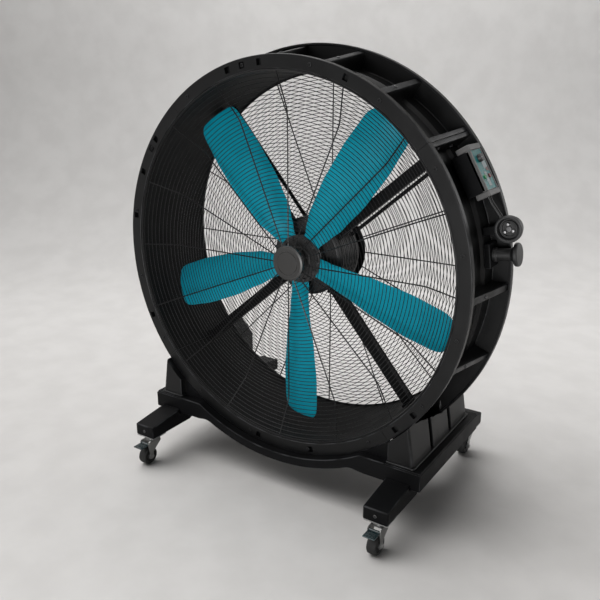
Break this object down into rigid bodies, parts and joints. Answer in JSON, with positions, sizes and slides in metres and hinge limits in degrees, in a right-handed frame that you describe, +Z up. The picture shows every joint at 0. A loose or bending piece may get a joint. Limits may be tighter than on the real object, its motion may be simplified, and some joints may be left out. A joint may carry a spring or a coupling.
{
  "type": "portable fan",
  "caption": "Large drum fan on a wheeled base: moulded ring, wire guards, twisted blades on a motor held by an X of struts, braked swivel casters and a side control box.",
  "frame": {"origin": "On the floor, straight below the middle of the drum.", "axes": "+Z up, the front guard faces -Y, +X towards the control box."},
  "size_m": [1.7337, 1.017, 1.803],
  "materials": {
    "drum_plastic": "moulded satin black",
    "guard_wire": "powder coated black wire",
    "cap_plastic": "moulded dark grey",
    "dark_fasteners": "blackened steel",
    "strut_paint": "satin black paint",
    "motor_casting": "painted casting",
    "bearing_steel": "ground steel",
    "core_iron": "laminated iron",
    "hub_alloy": "machined alloy",
    "blade_teal": "moulded teal",
    "base_paint": "textured black paint",
    "cradle_black": "satin black shell",
    "pillar_plastic": "moulded satin black",
    "zinc_steel": "zinc plated sheet",
    "wheel_rubber": "black tread",
    "pedal_teal": "moulded teal",
    "box_plastic": "black shell",
    "panel_teal": "teal membrane panel",
    "cap_grey": "moulded grey",
    "knob_black": "moulded black",
    "button_green": "moulded green",
    "button_red": "moulded red",
    "fitting_plastic": "moulded black",
    "bracket_paint": "satin black paint",
    "lead_rubber": "black sheath"
  },
  "bodies": {
    "frame": {"drum_segment_right": "drum_plastic", "drum_segment_top": "drum_plastic", "drum_segment_left": "drum_plastic", "drum_segment_bottom": "drum_plastic", "front_guard": "guard_wire", "front_guard_skirt": "guard_wire", "rear_guard": "guard_wire", "guard_centre_cap": "cap_plastic", "guard_screws": "dark_fasteners", "frame_bolts": "dark_fasteners", "strut_upper_right": "strut_paint", "strut_upper_left": "strut_paint", "strut_lower_left": "strut_paint", "strut_lower_right": "strut_paint", "motor_housing": "motor_casting", "motor_rear_cover": "motor_casting", "motor_bearings": "bearing_steel", "motor_stator": "core_iron", "base_side_right": "base_paint", "base_side_left": "base_paint", "leg_front_right": "base_paint", "leg_front_left": "base_paint", "leg_rear_right": "base_paint", "leg_rear_left": "base_paint", "cradle_front": "cradle_black", "cradle_rear": "cradle_black", "pillar_right": "pillar_plastic", "pillar_left": "pillar_plastic", "caster_plates": "zinc_steel", "control_box": "box_plastic", "drive_module": "box_plastic", "control_panel": "panel_teal", "control_end_caps": "cap_grey", "power_inlet": "fitting_plastic", "cord_post": "fitting_plastic", "side_brackets": "bracket_paint", "control_leads": "lead_rubber"},
    "rotor": {"shaft": "bearing_steel", "rotor_core": "core_iron", "rotor_hub": "hub_alloy", "blade_clamp": "hub_alloy", "blade_bolts": "dark_fasteners", "blade_1": "blade_teal", "blade_2": "blade_teal", "blade_3": "blade_teal", "blade_4": "blade_teal", "blade_5": "blade_teal"},
    "swivel_front_right": {"caster_fork_front_right": "zinc_steel"},
    "wheel_front_right": {"caster_wheel_front_right": "wheel_rubber"},
    "pedal_front_right": {"brake_pedal_front_right": "pedal_teal"},
    "swivel_front_left": {"caster_fork_front_left": "zinc_steel"},
    "wheel_front_left": {"caster_wheel_front_left": "wheel_rubber"},
    "pedal_front_left": {"brake_pedal_front_left": "pedal_teal"},
    "swivel_rear_right": {"caster_fork_rear_right": "zinc_steel"},
    "wheel_rear_right": {"caster_wheel_rear_right": "wheel_rubber"},
    "swivel_rear_left": {"caster_fork_rear_left": "zinc_steel"},
    "wheel_rear_left": {"caster_wheel_rear_left": "wheel_rubber"},
    "knob": {"speed_knob": "knob_black"},
    "start": {"start_button": "button_green"},
    "stop": {"stop_button": "button_red"}
  },
  "joints": [
    {"name": "rotor_spin", "type": "hinge", "parent": "frame", "child": "rotor", "pos_m": [0, 0, 0.958], "axis": [0, 1, 0], "continuous": true},
    {"name": "swivel_front_right_turn", "type": "hinge", "parent": "frame", "child": "swivel_front_right", "pos_m": [0.58, -0.327, 0.11], "axis": [0, 0, 1], "continuous": true},
    {"name": "wheel_front_right_spin", "type": "hinge", "parent": "swivel_front_right", "child": "wheel_front_right", "pos_m": [0.58, -0.359, 0.04], "axis": [1, 0, 0], "continuous": true},
    {"name": "pedal_front_right_press", "type": "hinge", "parent": "swivel_front_right", "child": "pedal_front_right", "pos_m": [0.58, -0.369, 0.099], "axis": [1, 0, 0], "range_deg": [0, 15], "stiffness_Nm_per_rad": 1},
    {"name": "swivel_front_left_turn", "type": "hinge", "parent": "frame", "child": "swivel_front_left", "pos_m": [-0.58, -0.327, 0.11], "axis": [0, 0, 1], "continuous": true},
    {"name": "wheel_front_left_spin", "type": "hinge", "parent": "swivel_front_left", "child": "wheel_front_left", "pos_m": [-0.58, -0.359, 0.04], "axis": [1, 0, 0], "continuous": true},
    {"name": "pedal_front_left_press", "type": "hinge", "parent": "swivel_front_left", "child": "pedal_front_left", "pos_m": [-0.58, -0.369, 0.099], "axis": [1, 0, 0], "range_deg": [0, 15], "stiffness_Nm_per_rad": 1},
    {"name": "swivel_rear_right_turn", "type": "hinge", "parent": "frame", "child": "swivel_rear_right", "pos_m": [0.58, 0.552, 0.11], "axis": [0, 0, 1], "continuous": true},
    {"name": "wheel_rear_right_spin", "type": "hinge", "parent": "swivel_rear_right", "child": "wheel_rear_right", "pos_m": [0.58, 0.52, 0.04], "axis": [1, 0, 0], "continuous": true},
    {"name": "swivel_rear_left_turn", "type": "hinge", "parent": "frame", "child": "swivel_rear_left", "pos_m": [-0.58, 0.552, 0.11], "axis": [0, 0, 1], "continuous": true},
    {"name": "wheel_rear_left_spin", "type": "hinge", "parent": "swivel_rear_left", "child": "wheel_rear_left", "pos_m": [-0.58, 0.52, 0.04], "axis": [1, 0, 0], "continuous": true},
    {"name": "speed_knob_turn", "type": "hinge", "parent": "frame", "child": "knob", "pos_m": [0.71314, 0.061, 1.40743], "axis": [0.8704, 0, 0.4924], "range_deg": [0, 270]},
    {"name": "start_button_press", "type": "slide", "parent": "frame", "child": "start", "axis": [-0.8704, 0, -0.4924], "range_m": [0, 0.002], "stiffness_N_per_m": 600},
    {"name": "stop_button_press", "type": "slide", "parent": "frame", "child": "stop", "axis": [-0.8704, 0, -0.4924], "range_m": [0, 0.002], "stiffness_N_per_m": 600}
  ]
}
